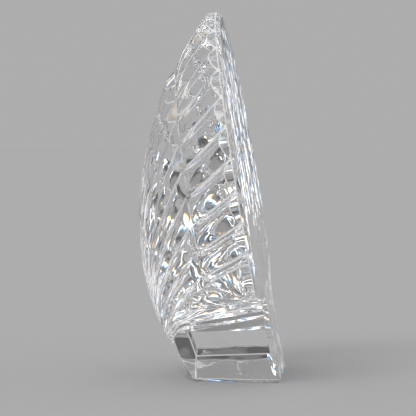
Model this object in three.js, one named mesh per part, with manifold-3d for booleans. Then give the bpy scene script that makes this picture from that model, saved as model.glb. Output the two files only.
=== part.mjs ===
import * as THREE from 'three';
import { mergeVertices } from 'three/addons/utils/BufferGeometryUtils.js';
import Module from 'manifold-3d';

const wasm = await Module();
wasm.setup();

// Cut crystal scallop shell that stands upright on its hinge. The front is a ribbed dome with a
// stepped, ribbed border. The back is one flat polished face that leans towards the front.
// Sizes are in millimetres and angles in degrees. Heights run up the flat back from the table,
// and depths stand square off the flat back towards the front. The origin is on the table, under
// the middle of the foot.

// Fan outline: the ribs spread from the hinge to a round rim
const BACK_LEAN = 9.6;
const FAN_TOP = 93.2;
const FAN_RADIUS = 48.5;
const FAN_SPREAD = 135;
const FLANK_SPREAD = 150;
const FLANK_DEPTH = 3.2;
const HINGE_HEIGHT = 11.3;
const BACK_CHAMFER = 1.1;

// Ribs
const RIB_COUNT = 21;
const RIB_RELIEF = 0.36;
const RELIEF_LIMIT_RATIO = 0.92;
const LOBE_RELIEF = 0.7;

// Stepped border, between the rim and a round step, with its width at the top and at the sides
const BORDER_WIDTH = 12.3;
const BORDER_SIDE_WIDTH = 10.6;
const STEP_DEPTH = 13.3;
const RIM_CROWN_DEPTH = 3.4;
const RIM_GROOVE_DEPTH = 1.6;
const BORDER_BULGE = 0.3;

// Dome
const SHOULDER_WIDTH = 2.2;
const SHOULDER_RISE = 2.9;
const DOME_DEPTH = 29.6;
const DOME_NARROWING = 0.9;
const BEAK_DEPTH = 25.3;
const BEAK_PULL_RATIO = 0.3;
const BEAK_LIFT_RATIO = 1.15;
const CROWN_PULL_RATIO = 0.62;
const CROWN_LIFT_RATIO = 1.03;

// Foot
const FOOT_WIDTH = 46;
const FOOT_DEPTH = 24.3;
const FOOT_TAPER = 2.5;
const FOOT_UNDERCUT = 1.5;
const FOOT_BEVEL = 0.7;
const NOSE_ROUND = 3.4;
const NOSE_SLOPE = 22;
const EAR_HEIGHT = 20.8;
const EAR_CREASE = 7.4;
const CREASE_FALL = 1.1;
const EAR_RADIUS = 14;
const EAR_DROP = 7.8;
const EAR_NOSE_RADIUS = 5.2;

// Facets of the curved surfaces, and the distance under which their corners are one
const FACETS_PER_RIB = 8;
const DOME_ROWS = 16;
const BORDER_ROWS = 5;
const EAR_FACETS = 10;
const NOSE_FACETS = 18;
const WELD_DISTANCE = 1e-4;

const lean = THREE.MathUtils.degToRad(BACK_LEAN);
const spread = THREE.MathUtils.degToRad(FAN_SPREAD);
const flank = THREE.MathUtils.degToRad(FLANK_SPREAD) / 2;
const pitch = spread / (RIB_COUNT + 1);
const fanCentre = FAN_TOP - FAN_RADIUS;
const shoulderDepth = STEP_DEPTH + SHOULDER_RISE;
const kneeRadius = (EAR_HEIGHT - HINGE_HEIGHT) / Math.cos(spread / 2);
const earRun = Math.sqrt(2 * EAR_RADIUS * EAR_DROP - EAR_DROP ** 2);

// Round step through the border's inner edge at the top and at both sides
const ringTop = FAN_TOP - BORDER_WIDTH - HINGE_HEIGHT;
const ringSide = reach(spread / 2, FAN_RADIUS, fanCentre) - BORDER_SIDE_WIDTH;
const ringRise = (ringTop ** 2 - ringSide ** 2) / 2 / (ringTop - ringSide * Math.cos(spread / 2));
const ringCentre = HINGE_HEIGHT + ringRise;
const ringRadius = ringTop - ringRise;
const shoulderRadius = ringRadius - SHOULDER_WIDTH;

// Closed solid of a geometry, without the seams and empty triangles of its grid
function solidOf(geometry) {
  const bare = geometry.clone();
  bare.deleteAttribute('normal');
  bare.deleteAttribute('uv');
  const merged = mergeVertices(bare, WELD_DISTANCE);
  const kept = [];
  const index = merged.index.array;
  for (let i = 0; i < index.length; i += 3) {
    const [a, b, c] = index.subarray(i, i + 3);
    if (a !== b && b !== c && c !== a) kept.push(a, b, c);
  }
  const vertProperties = merged.attributes.position.array;
  const triVerts = new Uint32Array(kept);
  return new wasm.Manifold(new wasm.Mesh({ numProp: 3, vertProperties, triVerts }));
}

// Geometry of a solid
function geometryOf(solid) {
  const mesh = solid.getMesh();
  const geometry = new THREE.BufferGeometry();
  geometry.setAttribute('position', new THREE.BufferAttribute(mesh.vertProperties, 3));
  geometry.setIndex(new THREE.BufferAttribute(mesh.triVerts, 1));
  geometry.computeVertexNormals();
  return geometry;
}

// Loops of points joined in order into one closed geometry, with a flat cap on each end
function loft(loops) {
  const triangles = [];
  const count = loops[0].length;
  for (let i = 0; i < loops.length - 1; i += 1) {
    const near = loops[i];
    const far = loops[i + 1];
    for (let j = 0; j < count; j += 1) {
      const k = (j + 1) % count;
      triangles.push(near[j], far[j], far[k]);
      triangles.push(near[j], far[k], near[k]);
    }
  }
  const first = loops[0];
  const last = loops[loops.length - 1];
  for (let j = 0; j < count - 2; j += 1) {
    triangles.push(first[count - 1], first[j], first[j + 1]);
    triangles.push(last[count - 1], last[j + 1], last[j]);
  }
  return new THREE.BufferGeometry().setFromPoints(triangles);
}

// Distance from the hinge to a circle about (0, centre), along a rib at the given angle
function reach(angle, radius, centre) {
  const offset = centre - HINGE_HEIGHT;
  const across = offset * Math.sin(angle);
  return offset * Math.cos(angle) + Math.sqrt(radius * radius - across * across);
}

// Ribs swell between sharp grooves: 0 in a groove, 1 on a crown
function swell(section) {
  const phase = (section / FACETS_PER_RIB) % 1;
  const fromGroove = Math.abs(2 * phase - 1);
  return Math.sin(fromGroove * Math.PI / 2);
}

// Point that pulls a dome line off its straight chord, at a share of the way out
function pull(share, lift, bulge) {
  const chord = THREE.MathUtils.lerp(BEAK_DEPTH, shoulderDepth, share);
  return new THREE.Vector2(share, THREE.MathUtils.lerp(chord, lift * DOME_DEPTH, bulge));
}

// Crown of a rib on the dome, from the beak to the shoulder. The middle rib bulges most
function domeLine(angle) {
  const bulge = Math.cos(DOME_NARROWING * angle);
  const crown = new THREE.CubicBezierCurve(
    new THREE.Vector2(0, BEAK_DEPTH),
    pull(BEAK_PULL_RATIO, BEAK_LIFT_RATIO, bulge),
    pull(CROWN_PULL_RATIO, CROWN_LIFT_RATIO, bulge),
    new THREE.Vector2(1, shoulderDepth),
  );
  return crown.getPoints(DOME_ROWS);
}

// Profile of the fan along one rib angle: radius from the hinge and depth, from the back up to the
// beak and over the dome, the shoulder, the step, the border and the rim to the back again
function profile(section, angle) {
  const crown = swell(section);
  const ring = reach(angle, ringRadius, ringCentre);
  const shoulder = reach(angle, shoulderRadius, ringCentre);
  const rim = reach(angle, FAN_RADIUS - LOBE_RELIEF * (1 - crown), fanCentre);
  const relief = Math.min(RIB_RELIEF * shoulder * pitch, RELIEF_LIMIT_RATIO * SHOULDER_RISE);
  const groove = relief * (1 - crown);
  const domeEnd = shoulder + (ring - shoulder) * groove / SHOULDER_RISE;
  const points = [[0, 0]];
  for (const { x, y } of domeLine(angle)) {
    points.push([x * domeEnd, y - x * groove]);
  }
  const rimDepth = RIM_GROOVE_DEPTH + (RIM_CROWN_DEPTH - RIM_GROOVE_DEPTH) * crown;
  for (let row = 0; row <= BORDER_ROWS; row += 1) {
    const out = row / BORDER_ROWS;
    const fall = out ** (1 + BORDER_BULGE * crown);
    points.push([ring + (rim - ring) * out, STEP_DEPTH + (rimDepth - STEP_DEPTH) * fall]);
  }
  points.push([rim, BACK_CHAMFER]);
  points.push([rim - BACK_CHAMFER, 0]);
  points.push([kneeRadius, 0]);
  return points;
}

// Spot on the fan at a rib angle, a radius from the hinge and a depth
function spot(angle, radius, depth) {
  const height = HINGE_HEIGHT + radius * Math.cos(angle);
  return new THREE.Vector3(radius * Math.sin(angle), height, depth);
}

// Edge of the plain flank beside the last rib: the rib's profile pressed to a thin plate, which
// opens from the ear to the rim. The back's chamfer runs out along it towards the ear
function flankEdge(section, angle, openAngle) {
  const knee = spot(angle, kneeRadius, 0);
  const corner = spot(openAngle, reach(openAngle, FAN_RADIUS, fanCentre), 0);
  const rim = reach(angle, FAN_RADIUS, fanCentre);
  return profile(section, angle).map(([radius, depth]) => {
    const out = (radius - kneeRadius) / (rim - kneeRadius);
    if (out <= 0) return spot(angle, radius, depth);
    return knee.clone().lerp(corner, out).setZ(THREE.MathUtils.clamp(depth, BACK_CHAMFER, FLANK_DEPTH));
  });
}

// Fan: slices at even angles joined into one ribbed wedge, with a plain flank at each side
function fanGeometry() {
  const sections = (RIB_COUNT + 1) * FACETS_PER_RIB;
  const slices = [flankEdge(0, -spread / 2, -flank)];
  for (let section = 0; section <= sections; section += 1) {
    const angle = spread * (section / sections - 0.5);
    slices.push(profile(section, angle).map(([radius, depth]) => spot(angle, radius, depth)));
  }
  slices.push(flankEdge(sections, spread / 2, flank));
  return loft(slices);
}

// Outline of the foot and its two ears, drawn in by an inset, at a depth off the back. The round
// top of each ear drops to a flat end
function earLoop(inset, depth) {
  const half = FOOT_WIDTH / 2 - inset;
  const radius = EAR_RADIUS - inset;
  const centre = FOOT_WIDTH / 2 - earRun;
  const spring = EAR_HEIGHT - EAR_RADIUS;
  const top = Math.PI / 2;
  const turn = Math.asin((earRun - inset) / radius);
  const left = new THREE.EllipseCurve(-centre, spring, radius, radius, top + turn, top, true);
  const right = new THREE.EllipseCurve(centre, spring, radius, radius, top, top - turn, true);
  const outline = [
    new THREE.Vector2(-half, -EAR_RADIUS),
    ...left.getPoints(EAR_FACETS),
    ...right.getPoints(EAR_FACETS),
    new THREE.Vector2(half, -EAR_RADIUS),
  ];
  return outline.map(({ x, y }) => new THREE.Vector3(x, y, depth));
}

// Ears: that outline run square off the back, chamfered there and rounded over at the front
function earGeometry() {
  const loops = [earLoop(BACK_CHAMFER, 0), earLoop(0, BACK_CHAMFER)];
  const turn = FOOT_DEPTH - EAR_NOSE_RADIUS;
  for (let step = 0; step <= EAR_FACETS; step += 1) {
    const angle = step / EAR_FACETS * Math.PI / 2;
    const inset = EAR_NOSE_RADIUS * (1 - Math.cos(angle));
    loops.push(earLoop(inset, turn + EAR_NOSE_RADIUS * Math.sin(angle)));
  }
  return loft(loops);
}

// Plan of the foot at a height above the table, which may fall towards the front: straight ends
// and a front bowed into a nose
function planLoop(width, depth, height, fall = 0) {
  const back = width / 2;
  const front = back - FOOT_TAPER;
  const outline = new THREE.Path();
  outline.moveTo(-back, EAR_RADIUS);
  outline.lineTo(back, EAR_RADIUS);
  outline.lineTo(back, 0);
  outline.lineTo(front, NOSE_ROUND - depth);
  outline.quadraticCurveTo(0, -NOSE_ROUND - depth, -front, NOSE_ROUND - depth);
  outline.lineTo(-back, 0);
  const slope = fall / FOOT_DEPTH;
  return outline.getPoints(NOSE_FACETS).map(({ x, y }) => new THREE.Vector3(x, y, height + slope * y));
}

// Foot: a bevel on the table edge, ends that flare to the crease and a nose that flares to the beak
function planGeometry() {
  const flare = Math.tan(THREE.MathUtils.degToRad(NOSE_SLOPE));
  const base = FOOT_WIDTH - 2 * FOOT_UNDERCUT;
  const widen = 2 * FOOT_UNDERCUT * FOOT_BEVEL / EAR_CREASE;
  return loft([
    planLoop(base - 2 * FOOT_BEVEL, FOOT_DEPTH - FOOT_BEVEL, 0),
    planLoop(base + widen, FOOT_DEPTH + flare * FOOT_BEVEL, FOOT_BEVEL),
    planLoop(FOOT_WIDTH, FOOT_DEPTH + flare * EAR_CREASE, EAR_CREASE, CREASE_FALL),
    planLoop(FOOT_WIDTH, FOOT_DEPTH + flare * EAR_HEIGHT, EAR_HEIGHT),
  ]);
}

// Crystal shell: fan and foot run into each other as one block of clear crystal
const upright = Math.PI / 2 + lean;
const plan = planGeometry().rotateX(-upright);
const foot = solidOf(earGeometry()).intersect(solidOf(plan));
const shellSolid = solidOf(fanGeometry()).add(foot);
const crystal = new THREE.MeshStandardMaterial({
  color: 0xeef3f5,
  roughness: 0.03,
  metalness: 0,
  transparent: true,
  opacity: 0.35,
  flatShading: true,
});
const shell = new THREE.Mesh(geometryOf(shellSolid), crystal);
shell.name = 'crystal_shell';
shell.rotation.x = upright;
shell.position.y = FOOT_DEPTH / 2;

const paperweight = new THREE.Group();
paperweight.name = 'crystal_shell_paperweight';
paperweight.add(shell);

export default paperweight;
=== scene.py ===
import math

import bpy
from mathutils import Matrix, Vector
from mathutils.geometry import interpolate_bezier


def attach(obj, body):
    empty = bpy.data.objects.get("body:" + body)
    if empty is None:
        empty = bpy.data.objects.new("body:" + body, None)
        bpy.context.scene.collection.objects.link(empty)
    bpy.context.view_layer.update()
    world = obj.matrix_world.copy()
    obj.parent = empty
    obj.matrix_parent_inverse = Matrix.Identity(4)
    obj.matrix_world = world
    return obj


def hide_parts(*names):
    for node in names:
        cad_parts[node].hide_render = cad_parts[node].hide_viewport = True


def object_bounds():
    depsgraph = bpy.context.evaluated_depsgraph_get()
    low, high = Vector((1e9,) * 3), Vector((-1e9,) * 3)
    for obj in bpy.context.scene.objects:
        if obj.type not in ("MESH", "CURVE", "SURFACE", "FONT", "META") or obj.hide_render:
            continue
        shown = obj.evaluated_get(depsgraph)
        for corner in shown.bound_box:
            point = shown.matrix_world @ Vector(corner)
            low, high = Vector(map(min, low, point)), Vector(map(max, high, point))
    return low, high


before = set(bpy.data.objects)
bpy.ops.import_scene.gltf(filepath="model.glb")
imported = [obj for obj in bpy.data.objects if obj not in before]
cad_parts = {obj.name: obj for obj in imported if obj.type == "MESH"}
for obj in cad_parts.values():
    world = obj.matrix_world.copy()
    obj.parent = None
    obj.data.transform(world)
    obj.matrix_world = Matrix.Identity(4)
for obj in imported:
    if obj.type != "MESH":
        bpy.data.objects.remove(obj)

cad_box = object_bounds()
bpy.ops.object.select_all(action="DESELECT")

# Fan
# The fan is the upper part of the block, of clear crystal. A mould presses its ribbed dome and the
# ribbed border below a round step, and the flutes and the flat back are then cut and polished.
MM = 0.001
back_lean = math.radians(9.6)
fan_spread = math.radians(135)
flank_spread = math.radians(150)
flank_depth = 3.2
fan_top = 93.2
fan_radius = 48.5
hinge_height = 11.3
back_chamfer = 1.1
rib_count = 21
rib_relief = 0.36
relief_limit_ratio = 0.92
lobe_relief = 0.7
border_width = 12.3
border_side_width = 10.6
step_depth = 13.3
rim_crown_depth = 3.4
rim_groove_depth = 1.6
border_bulge = 0.3
shoulder_width = 2.2
shoulder_rise = 2.9
dome_depth = 29.6
dome_narrowing = 0.9
beak_depth = 25.3
beak_pull_ratio = 0.3
beak_lift_ratio = 1.15
crown_pull_ratio = 0.62
crown_lift_ratio = 1.03
facets_per_rib = 20
dome_rows = 44
border_rows = 14
round_rows = 1
groove_round = 0.05
groove_gather = 1.2
edge_round = 0.16
round_limit_ratio = 0.45
smallest_step = 1e-6
weld_distance = 0.001 * MM
ear_height = 20.8

rib_pitch = fan_spread / (rib_count + 1)
fan_centre = fan_top - fan_radius
shoulder_depth = step_depth + shoulder_rise
knee_radius = (ear_height - hinge_height) / math.cos(fan_spread / 2)


def reach(angle, radius, centre):
    """Distance from the hinge to a circle about a point above it, along a rib."""
    offset = centre - hinge_height
    return offset * math.cos(angle) + math.sqrt(radius**2 - (offset * math.sin(angle))**2)


ring_top = fan_top - border_width - hinge_height
ring_side = reach(fan_spread / 2, fan_radius, fan_centre) - border_side_width
ring_rise = (ring_top**2 - ring_side**2) / 2 / (ring_top - ring_side * math.cos(fan_spread / 2))
ring_centre = hinge_height + ring_rise
ring_radius = ring_top - ring_rise


def dome_line(angle):
    """Share of the way out and depth along a rib's crown, from the beak to the shoulder."""
    bulge = math.cos(dome_narrowing * angle)
    pulls = []
    for share, lift in ((beak_pull_ratio, beak_lift_ratio), (crown_pull_ratio, crown_lift_ratio)):
        chord = beak_depth + (shoulder_depth - beak_depth) * share
        pulls.append(Vector((share, chord + (lift * dome_depth - chord) * bulge)))
    ends = Vector((0, beak_depth)), Vector((1, shoulder_depth))
    return interpolate_bezier(ends[0], pulls[0], pulls[1], ends[1], dome_rows + 1)


def rounded(points, corners):
    """Points with each listed corner cut to a narrow edge, of one flat row or a round of several."""
    path = []
    for index, point in enumerate(points):
        if index not in corners:
            path.append(point)
            continue
        before = points[index - 1] - point
        after = points[index + 1] - point
        start = point + before * min(round_limit_ratio, edge_round / max(before.length, smallest_step))
        end = point + after * min(round_limit_ratio, edge_round / max(after.length, smallest_step))
        for step in range(round_rows + 1):
            share = step / round_rows
            path.append(start * (1 - share)**2 + point * 2 * share * (1 - share) + end * share**2)
    return path


def fan_slice(angle, from_groove):
    """Radius and depth along one rib angle, from the beak over the step and the rim to the hinge."""
    soft = math.hypot(from_groove, groove_round) - groove_round * (1 - from_groove)
    crown = math.sin(min(soft, 1) * math.pi / 2)
    ring = reach(angle, ring_radius, ring_centre)
    shoulder = reach(angle, ring_radius - shoulder_width, ring_centre)
    rim = reach(angle, fan_radius - lobe_relief * (1 - crown), fan_centre)
    relief = min(rib_relief * shoulder * rib_pitch, relief_limit_ratio * shoulder_rise)
    groove = relief * (1 - crown)
    dome_end = shoulder + (ring - shoulder) * groove / shoulder_rise
    points = [Vector((0, 0))]
    points += [Vector((x * dome_end, y - x * groove)) for x, y in dome_line(angle)]
    rim_depth = rim_groove_depth + (rim_crown_depth - rim_groove_depth) * crown
    for row in range(border_rows + 1):
        out = row / border_rows
        fall = out**(1 + border_bulge * crown)
        points.append(Vector((ring + (rim - ring) * out, step_depth + (rim_depth - step_depth) * fall)))
    points.append(Vector((rim, back_chamfer)))
    points.append(Vector((rim - back_chamfer, 0)))
    points.append(Vector((knee_radius, 0)))
    points.append(Vector((0, 0)))
    shoulder_row = dome_rows + 1
    rim_row = shoulder_row + 1 + border_rows
    return rounded(points, (shoulder_row, shoulder_row + 1, rim_row, rim_row + 1, rim_row + 2))


def spot(angle, radius, depth):
    """Place on the fan at a rib angle, a radius from the hinge and a depth off the back."""
    return Vector((radius * math.sin(angle), hinge_height + radius * math.cos(angle), depth))


def flank_edge(angle, open_angle):
    """Edge of the plain flank: the last rib pressed to a thin plate that opens from ear to rim."""
    knee = spot(angle, knee_radius, 0)
    corner = spot(open_angle, reach(open_angle, fan_radius, fan_centre), 0)
    rim = reach(angle, fan_radius, fan_centre)
    edge = []
    for radius, depth in fan_slice(angle, 1):
        out = (radius - knee_radius) / (rim - knee_radius)
        place = spot(angle, radius, depth)
        if out > 0:
            place = knee.lerp(corner, out)
            place.z = min(max(depth, back_chamfer), flank_depth)
        edge.append(place)
    return edge


def shaped_grid(name, columns, place):
    """A grid primitive with one column for each of the given lines of points."""
    rows = len(columns[0]) - 1
    bpy.ops.mesh.primitive_grid_add(x_subdivisions=rows, y_subdivisions=len(columns) - 1, size=1)
    grid = bpy.context.object
    grid.name = name
    for vertex in grid.data.vertices:
        column, row = divmod(vertex.index, rows + 1)
        vertex.co = place(columns[column][row]) * MM
    return grid


def fan_lines():
    """Lines of points over the fan, closest together beside the grooves."""
    lines = []
    steps = facets_per_rib // 2
    for half in range(2 * (rib_count + 1)):
        for step in range(steps):
            share = step / steps
            from_crown = half % 2 == 0
            share = 1 - (1 - share)**groove_gather if from_crown else share**groove_gather
            angle = rib_pitch * (half + share) / 2 - fan_spread / 2
            lines.append((angle, 1 - share if from_crown else share))
    lines.append((fan_spread / 2, 1))
    columns = [flank_edge(-fan_spread / 2, -flank_spread / 2)]
    for angle, from_groove in lines:
        columns.append([spot(angle, radius, depth) for radius, depth in fan_slice(angle, from_groove)])
    columns.append(flank_edge(fan_spread / 2, flank_spread / 2))
    for side in (0, -1):
        knee = spot(lines[side][0], knee_radius, 0)
        columns.insert(side % (len(columns) + 1), [knee] * len(columns[0]))
    return columns


fan = shaped_grid("crystal_fan", fan_lines(), lambda point: point)
bpy.ops.object.mode_set(mode="EDIT")
bpy.ops.mesh.select_all(action="SELECT")
bpy.ops.mesh.remove_doubles(threshold=weld_distance)
bpy.ops.mesh.normals_make_consistent(inside=False)
bpy.ops.object.mode_set(mode="OBJECT")

crystal_ior = 1.545
wave_scale = 90
wave_detail = 2
wave_height = 1.0 * MM
wave_share_front = 0.25
wave_share_back = 1.0
back_facing_from = 0.97
back_facing_full = 0.99
crystal = bpy.data.materials.new("polished_crystal")
crystal.use_nodes = True
nodes = crystal.node_tree.nodes
links = crystal.node_tree.links
glass = nodes["Principled BSDF"]
glass.inputs["Base Color"].default_value = (1, 1, 1, 1)
glass.inputs["Roughness"].default_value = 0.0
glass.inputs["IOR"].default_value = crystal_ior
glass.inputs["Transmission Weight"].default_value = 1.0
coordinates = nodes.new("ShaderNodeTexCoord")
waves = nodes.new("ShaderNodeTexNoise")
waves.inputs["Scale"].default_value = wave_scale
waves.inputs["Detail"].default_value = wave_detail
links.new(coordinates.outputs["Object"], waves.inputs["Vector"])
facing = nodes.new("ShaderNodeVectorMath")
facing.operation = "DOT_PRODUCT"
facing.inputs[1].default_value = (0, math.cos(back_lean), math.sin(back_lean))
links.new(coordinates.outputs["Normal"], facing.inputs[0])
wave_share = nodes.new("ShaderNodeMapRange")
wave_share.inputs["From Min"].default_value = back_facing_from
wave_share.inputs["From Max"].default_value = back_facing_full
wave_share.inputs["To Min"].default_value = wave_share_front
wave_share.inputs["To Max"].default_value = wave_share_back
links.new(facing.outputs["Value"], wave_share.inputs["Value"])
swell = nodes.new("ShaderNodeMath")
swell.operation = "MULTIPLY"
links.new(waves.outputs["Fac"], swell.inputs[0])
links.new(wave_share.outputs["Result"], swell.inputs[1])
waviness = nodes.new("ShaderNodeBump")
waviness.inputs["Strength"].default_value = 1.0
waviness.inputs["Distance"].default_value = wave_height
links.new(swell.outputs["Value"], waviness.inputs["Height"])
links.new(waviness.outputs["Normal"], glass.inputs["Normal"])

ground_slot = 1
ground_tint = (0.9, 0.92, 0.93, 1)
ground_clearness = 0.25
grain_scale = 4000
grain_dullness_least = 0.25
grain_dullness_most = 0.65
ground = bpy.data.materials.new("ground_crystal_line")
ground.use_nodes = True
nodes = ground.node_tree.nodes
links = ground.node_tree.links
frost = nodes["Principled BSDF"]
frost.inputs["Base Color"].default_value = ground_tint
frost.inputs["IOR"].default_value = crystal_ior
frost.inputs["Transmission Weight"].default_value = ground_clearness
coordinates = nodes.new("ShaderNodeTexCoord")
grain = nodes.new("ShaderNodeTexNoise")
grain.inputs["Scale"].default_value = grain_scale
links.new(coordinates.outputs["Object"], grain.inputs["Vector"])
dullness = nodes.new("ShaderNodeMapRange")
dullness.inputs["To Min"].default_value = grain_dullness_least
dullness.inputs["To Max"].default_value = grain_dullness_most
links.new(grain.outputs["Fac"], dullness.inputs["Value"])
links.new(dullness.outputs["Result"], frost.inputs["Roughness"])


def finished(piece):
    """Give a piece its two finishes: polished, and ground along its lines."""
    piece.data.materials.append(crystal)
    piece.data.materials.append(ground)


finished(fan)

# Foot
# The foot is the lower part of the same block, below the hinge. It has a rounded ear at each end,
# ends that are cut back to a flat underside, a small facet on each front corner, and a bowed nose
# under the beak.
foot_width = 46
foot_depth = 24.3
foot_taper = 2.5
foot_undercut = 1.5
foot_bevel = 0.7
nose_round = 3.4
nose_slope = math.radians(22)
ear_crease = 7.4
crease_fall = 1.1
ear_radius = 14
ear_drop = 7.8
ear_nose_radius = 5.2
ear_facets = 64
ear_nose_facets = 16
ripple_count = 6
ripple_depth = 0.18
ripple_drift = 0.012
nose_facets = 32
corner_base = 0.3
corner_cut = 3.4
cut_round = 0.15
cut_round_rows = 2
ear_cut_angle = math.radians(25)
plan_cut_angle = math.radians(8)

ear_run = math.sqrt(2 * ear_radius * ear_drop - ear_drop**2)


def ear_line(inset, depth):
    """Outline of the foot and its two rippled ears, drawn in by an inset, at a depth off the back."""
    half = foot_width / 2 - inset
    radius = ear_radius - inset
    centre = foot_width / 2 - ear_run
    spring = ear_height - ear_radius
    full_turn = math.asin((ear_run - inset) / radius)
    turns = [full_turn * step / ear_facets for step in range(ear_facets + 1)]
    outline = [Vector((-half, -ear_radius, depth))]
    for side, ordered in ((-1, reversed(turns)), (1, turns)):
        for turn in ordered:
            wave = math.sin(math.tau * ripple_count * (turn / full_turn + ripple_drift * depth))
            rippled = radius - ripple_depth * (1 + wave) / 2
            across = side * (centre + rippled * math.sin(turn))
            outline.append(Vector((across, spring + rippled * math.cos(turn), depth)))
    outline.append(Vector((half, -ear_radius, depth)))
    outline.append(outline[0])
    return outline


def plan_line(width, depth, height, corner, fall=0):
    """Plan of the foot at a height that may fall to the front: ends, cut corners and a bowed nose."""
    back = width / 2
    front = back - foot_taper
    widening = foot_taper / (depth - nose_round)
    cut = (front + widening * corner, nose_round - depth + corner)
    outline = [(-back, ear_radius), (back, ear_radius), (back, 0), cut]
    for step in range(nose_facets + 1):
        share = corner / 2 / front + (1 - corner / front) * step / nose_facets
        bow = 4 * nose_round * share * (1 - share)
        outline.append((front * (1 - 2 * share), nose_round - depth - bow))
    outline += [(-cut[0], cut[1]), (-back, 0), outline[0]]
    return [Vector((x, y, height + fall / foot_depth * y)) for x, y in outline]


def finished_solid(grid, cut_angle):
    """Close the open ends of a tube-shaped grid and grind a narrow round on its sharper edges."""
    bpy.ops.object.mode_set(mode="EDIT")
    bpy.ops.mesh.select_all(action="SELECT")
    bpy.ops.mesh.remove_doubles(threshold=weld_distance)
    bpy.ops.mesh.fill_holes(sides=0)
    bpy.ops.mesh.select_all(action="SELECT")
    bpy.ops.mesh.normals_make_consistent(inside=False)
    bpy.ops.object.mode_set(mode="OBJECT")
    finished(grid)
    bpy.ops.object.modifier_add(type="BEVEL")
    cut_edge = grid.modifiers[-1]
    cut_edge.limit_method = "ANGLE"
    cut_edge.angle_limit = cut_angle
    cut_edge.width = cut_round * MM
    cut_edge.segments = cut_round_rows
    cut_edge.material = ground_slot
    bpy.ops.object.modifier_apply(modifier=cut_edge.name)


upright = Matrix.Rotation(math.pi / 2 + back_lean, 4, "X")
ear_lines = [ear_line(back_chamfer, 0), ear_line(0, back_chamfer)]
for step in range(ear_nose_facets + 1):
    turn = step / ear_nose_facets * math.pi / 2
    inset = ear_nose_radius * (1 - math.cos(turn))
    ear_lines.append(ear_line(inset, foot_depth - ear_nose_radius * (1 - math.sin(turn))))
foot = shaped_grid("crystal_foot", ear_lines, lambda point: point)
finished_solid(foot, ear_cut_angle)

flare = math.tan(nose_slope)
base_width = foot_width - 2 * foot_undercut
base_widen = 2 * foot_undercut * foot_bevel / ear_crease
plan_lines = [
    plan_line(base_width - 2 * foot_bevel, foot_depth - foot_bevel, 0, corner_base),
    plan_line(base_width + base_widen, foot_depth + flare * foot_bevel, foot_bevel, corner_base),
    plan_line(foot_width, foot_depth + flare * ear_crease, ear_crease, corner_cut, crease_fall),
    plan_line(foot_width, foot_depth + flare * ear_height, ear_height, corner_cut),
]
plan = shaped_grid("foot_plan", plan_lines, lambda point: upright.inverted() @ point)
finished_solid(plan, plan_cut_angle)


def joined(piece, other, operation):
    """Join or trim a piece with another one, which is then done with."""
    bpy.ops.object.select_all(action="DESELECT")
    bpy.context.view_layer.objects.active = piece
    piece.select_set(True)
    bpy.ops.object.modifier_add(type="BOOLEAN")
    trim = piece.modifiers[-1]
    trim.operation = operation
    trim.solver = "EXACT"
    trim.object = other
    bpy.ops.object.modifier_apply(modifier=trim.name)
    bpy.data.objects.remove(other)


joined(foot, plan, "INTERSECT")
joined(fan, foot, "UNION")

# Crystal shell
# Fan and foot are one block, so they are one piece: colourless crystal with the fine waviness of
# hand polishing, left ground in narrow lines along the grooves, the step, the rim and the cut edges.
# It stands on its foot and leans forward.
seam_weld = 0.0005 * MM
sliver_width = 0.001 * MM
smooth_angle = math.radians(28)
line_width = 0.4 * MM
line_turn = math.radians(22)

shell = fan
shell.name = "polished_crystal_shell"
shell.rotation_euler.x = math.pi / 2 + back_lean
shell.location.y = foot_depth / 2 * MM
bpy.ops.object.transform_apply(location=True, rotation=True, scale=True)
bpy.ops.object.mode_set(mode="EDIT")
bpy.ops.mesh.select_all(action="SELECT")
bpy.ops.mesh.remove_doubles(threshold=seam_weld)
bpy.ops.mesh.dissolve_degenerate(threshold=sliver_width)
bpy.ops.object.mode_set(mode="OBJECT")
# No point of the block stands past the solid's own box.
for vertex in shell.data.vertices:
    for axis in range(3):
        vertex.co[axis] = min(max(vertex.co[axis], cad_box[0][axis]), cad_box[1][axis])
bpy.ops.object.shade_smooth_by_angle(angle=smooth_angle)
bpy.ops.object.modifier_add(type="WEIGHTED_NORMAL")
shell.modifiers[-1].keep_sharp = True
bpy.ops.object.modifier_apply(modifier=shell.modifiers[-1].name)

# A ground line is a narrow strip of four-sided faces where the surface turns sharply.
corners = shell.data.vertices
normals = {}
for face in shell.data.polygons:
    for side in face.edge_keys:
        normals.setdefault(side, []).append(face.normal)
turns = {side: pair[0].angle(pair[-1], 0) for side, pair in normals.items()}
spans = {side: (corners[side[0]].co - corners[side[1]].co).length for side in normals}
for face in shell.data.polygons:
    sides = face.edge_keys
    if len(sides) != 4:
        continue
    for first in (0, 1):
        turn = turns[sides[first]] + turns[sides[first + 2]]
        width = (spans[sides[1 - first]] + spans[sides[3 - first]]) / 2
        if turn > line_turn and width < line_width:
            face.material_index = ground_slot
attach(shell, "root")
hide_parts("crystal_shell")

# Floor
# A pale, matt sheet under the shell, with nothing on it but the shell's shadow. A hair of air keeps
# it off the foot, so that the polished underside mirrors as it does on a real table.
pale = (0.42, 0.42, 0.42, 1)
air_gap = 0.02 * MM
floor_radius = 6
floor_sides = 96
bpy.ops.object.select_all(action="DESELECT")
bpy.ops.mesh.primitive_circle_add(vertices=floor_sides, radius=floor_radius, fill_type="NGON")
floor = bpy.context.object
floor.name = "studio_floor"
floor.location.z = -air_gap
sheet = bpy.data.materials.new("pale_sheet")
sheet.use_nodes = True
matt = sheet.node_tree.nodes["Principled BSDF"]
matt.inputs["Base Color"].default_value = pale
matt.inputs["Roughness"].default_value = 1.0
matt.inputs["Specular IOR Level"].default_value = 0.0
floor.data.materials.append(sheet)

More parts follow.
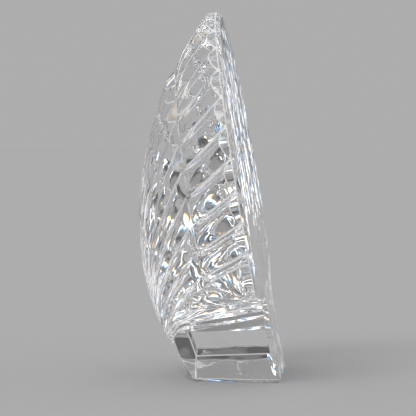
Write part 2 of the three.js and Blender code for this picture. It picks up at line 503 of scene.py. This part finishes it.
# Studio light
# Rows of soft strip lights over a room that is pale along the floor, and one broad soft light. Tall
# lights and dark flags stand at both sides of the plain backdrop, as is usual for glass.
strip_rows = 5
strip_offset = 0.735
strip_gather = 1.4
backdrop_turn = math.radians(3.52)
backdrop_top = 0.047
strips_start = 0.06
broad_light_height = 2
broad_light_turn = (math.radians(20), math.radians(48), 0)
broad_light_spread = math.radians(30)
broad_light_strength = 1.16
dark = (0.09, 0.09, 0.09, 1)
gap = (0.29, 0.29, 0.29, 1)
lit = (2.6, 2.6, 2.6, 1)
warm = (2.0, 1.2, 0.3, 1)
cool = (0.25, 1.0, 2.1, 1)
strip_shades = (
    (0.33, gap), (0.39, warm), (0.45, lit), (0.55, lit), (0.61, cool), (0.67, gap),
    (0.80, gap), (0.86, dark), (0.94, dark), (1.00, gap),
)
side_shades = (
    (0.095, pale), (0.105, dark), (0.14, dark), (0.15, cool), (0.16, lit), (0.20, lit),
    (0.21, warm), (0.22, dark), (0.29, dark), (0.305, cool), (0.32, lit), (0.36, lit),
    (0.375, warm), (0.39, dark), (0.48, dark), (0.55, pale),
)
world = bpy.data.worlds.new("studio_room")
bpy.context.scene.world = world
world.use_nodes = True
room = world.node_tree.nodes
room_links = world.node_tree.links
direction = room.new("ShaderNodeTexCoord")


def worked(operation, first, second, third=None):
    """One step of arithmetic in the room's shading, on other steps' results or plain numbers."""
    node = room.new("ShaderNodeMath")
    node.operation = operation
    for socket, value in zip(node.inputs, (first, second, third)):
        if isinstance(value, bpy.types.NodeSocket):
            room_links.new(value, socket)
        elif value is not None:
            socket.default_value = value
    return node.outputs["Value"]


def along(axis):
    """How far a direction in the room points along an axis, from -1 to 1."""
    node = room.new("ShaderNodeVectorMath")
    node.operation = "DOT_PRODUCT"
    node.inputs[1].default_value = axis
    room_links.new(direction.outputs["Generated"], node.inputs[0])
    return node.outputs["Value"]


def shaded(value, stops):
    """Colour of a value between the given stops."""
    node = room.new("ShaderNodeValToRGB")
    shades = node.color_ramp.elements
    shades[0].position = stops[0][0]
    shades[0].color = stops[0][1]
    shades[1].position = stops[-1][0]
    shades[1].color = stops[-1][1]
    for position, shade in stops[1:-1]:
        shades.new(position).color = shade
    room_links.new(value, node.inputs["Fac"])
    return node.outputs["Color"]


height = along((0, 0, 1))
climb = worked("MULTIPLY_ADD", worked("POWER", height, strip_gather), strip_rows, strip_offset)
strips = shaded(worked("FRACT", climb, None), strip_shades)
ahead = worked("GREATER_THAN", along((-math.cos(backdrop_turn), -math.sin(backdrop_turn), 0)), 0)
aside = worked("ABSOLUTE", along((-math.sin(backdrop_turn), math.cos(backdrop_turn), 0)), None)
side_wall = shaded(worked("MULTIPLY", ahead, aside), side_shades)
above = room.new("ShaderNodeMapRange")
above.inputs["From Min"].default_value = backdrop_top
above.inputs["From Max"].default_value = strips_start
room_links.new(height, above.inputs["Value"])
wall = room.new("ShaderNodeMix")
wall.data_type = "RGBA"
room_links.new(above.outputs["Result"], wall.inputs["Factor"])
room_links.new(side_wall, wall.inputs["A"])
room_links.new(strips, wall.inputs["B"])
room_links.new(wall.outputs["Result"], room["Background"].inputs["Color"])
bpy.ops.object.light_add(type="SUN", location=(0, 0, broad_light_height))
broad_light = bpy.context.object
broad_light.name = "broad_light"
broad_light.rotation_euler = broad_light_turn
broad_light.data.angle = broad_light_spread
broad_light.data.energy = broad_light_strength

# Camera
# Looks along the shell from its side, a little above the table, from about an arm's length. Deep
# glass folds a ray many times, so light may take long paths through it.
view_azimuth = math.radians(93.52)
view_elevation = math.radians(1.78)
view_distance = 0.6816
view_aim = Vector((0, -0.00671, 0.04221))
film_width = 36
lens_length = 233
glass_bounces = 24
mirror_bounces = 16
away = Vector((
    math.sin(view_azimuth) * math.cos(view_elevation),
    -math.cos(view_azimuth) * math.cos(view_elevation),
    math.sin(view_elevation),
))
bpy.ops.object.camera_add(location=view_aim + away * view_distance)
camera = bpy.context.object
camera.name = "photo_camera"
camera.rotation_euler = (-away).to_track_quat("-Z", "Y").to_euler()
camera.data.sensor_width = film_width
camera.data.lens = lens_length
bpy.context.scene.camera = camera
bpy.context.scene.view_settings.view_transform = "Standard"
bpy.context.scene.cycles.max_bounces = glass_bounces
bpy.context.scene.cycles.glossy_bounces = mirror_bounces
bpy.context.scene.cycles.transmission_bounces = glass_bounces
